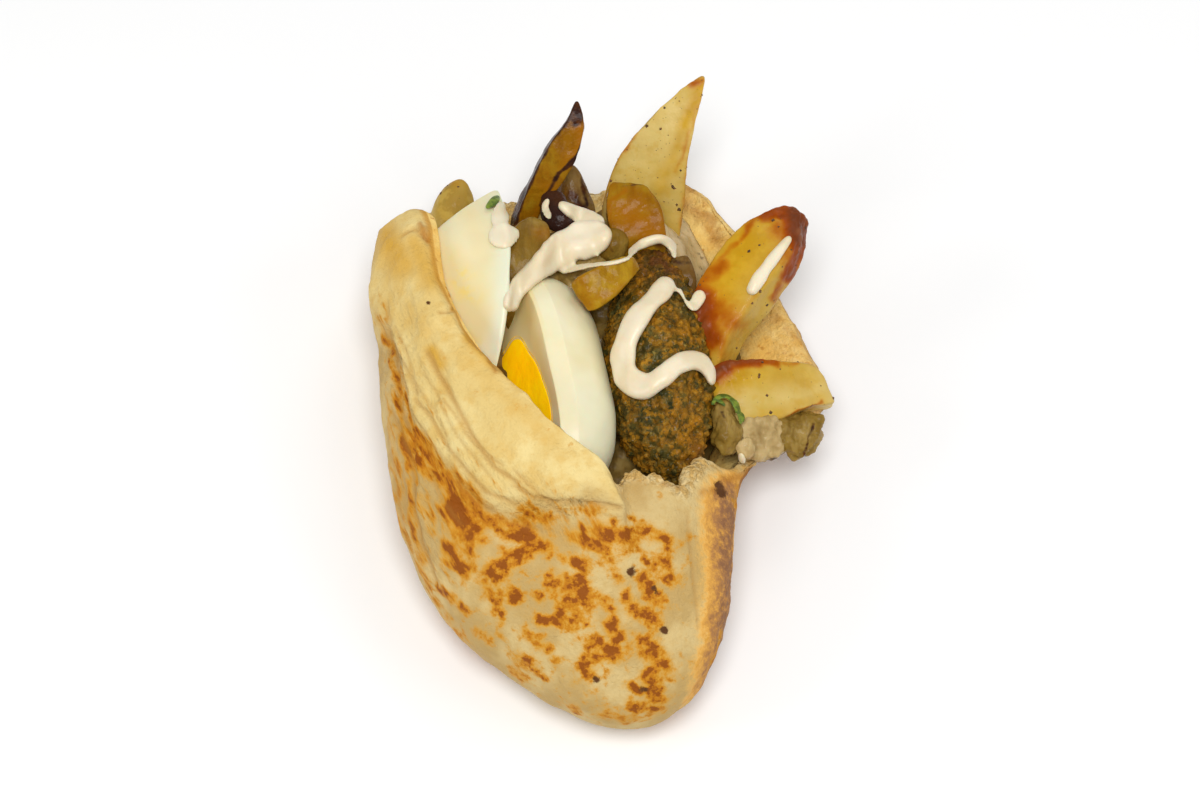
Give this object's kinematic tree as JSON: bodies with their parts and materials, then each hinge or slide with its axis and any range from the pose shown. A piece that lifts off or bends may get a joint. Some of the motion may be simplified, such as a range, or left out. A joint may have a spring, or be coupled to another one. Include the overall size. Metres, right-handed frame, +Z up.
{
  "type": "vegetable pita",
  "caption": "Stuffed pocket bread lying on its back, its open mouth full of egg, fried falafel, potato and aubergine under white sauce.",
  "frame": {"origin": "middle of the underside's bounding box, on the surface that the pita lies on", "axes": "+Z up; +Y along the pita, from its round closed end to its open mouth; +X to the right as seen from the closed end"},
  "size_m": [0.1293, 0.183, 0.0598],
  "materials": {
    "baked_bread": "dry, matt, toasted in brown blotches",
    "egg_white": "moist, soft sheen",
    "egg_yolk": "moist, fine-grained",
    "falafel_crust": "rough, fried, flecked green and orange",
    "roast_potato": "oily, browned edges, pepper specks",
    "fried_aubergine": "oily, translucent, fibrous",
    "soft_aubergine": "oily, translucent",
    "aubergine_peel": "dark purple, glossy",
    "stuffing_mash": "moist, lumpy",
    "white_sauce": "glossy cream",
    "green_herb": "chopped leaf"
  },
  "bodies": {
    "root": {"pita": "baked_bread", "egg_left": "egg_white", "egg_right_white": "egg_white", "egg_right_yolk": "egg_yolk", "falafel": "falafel_crust", "potato_tall": "roast_potato", "potato_right": "roast_potato", "potato_low": "roast_potato", "potato_left": "roast_potato", "aubergine_tall": "fried_aubergine", "aubergine_amber": "fried_aubergine", "aubergine_brown": "fried_aubergine", "aubergine_skin": "aubergine_peel", "aubergine_olive": "soft_aubergine", "aubergine_left": "soft_aubergine", "aubergine_green": "soft_aubergine", "aubergine_cube": "soft_aubergine", "aubergine_grey": "soft_aubergine", "aubergine_low": "soft_aubergine", "aubergine_mash": "soft_aubergine", "onion": "soft_aubergine", "stuffing": "stuffing_mash"}
  },
  "joints": []
}
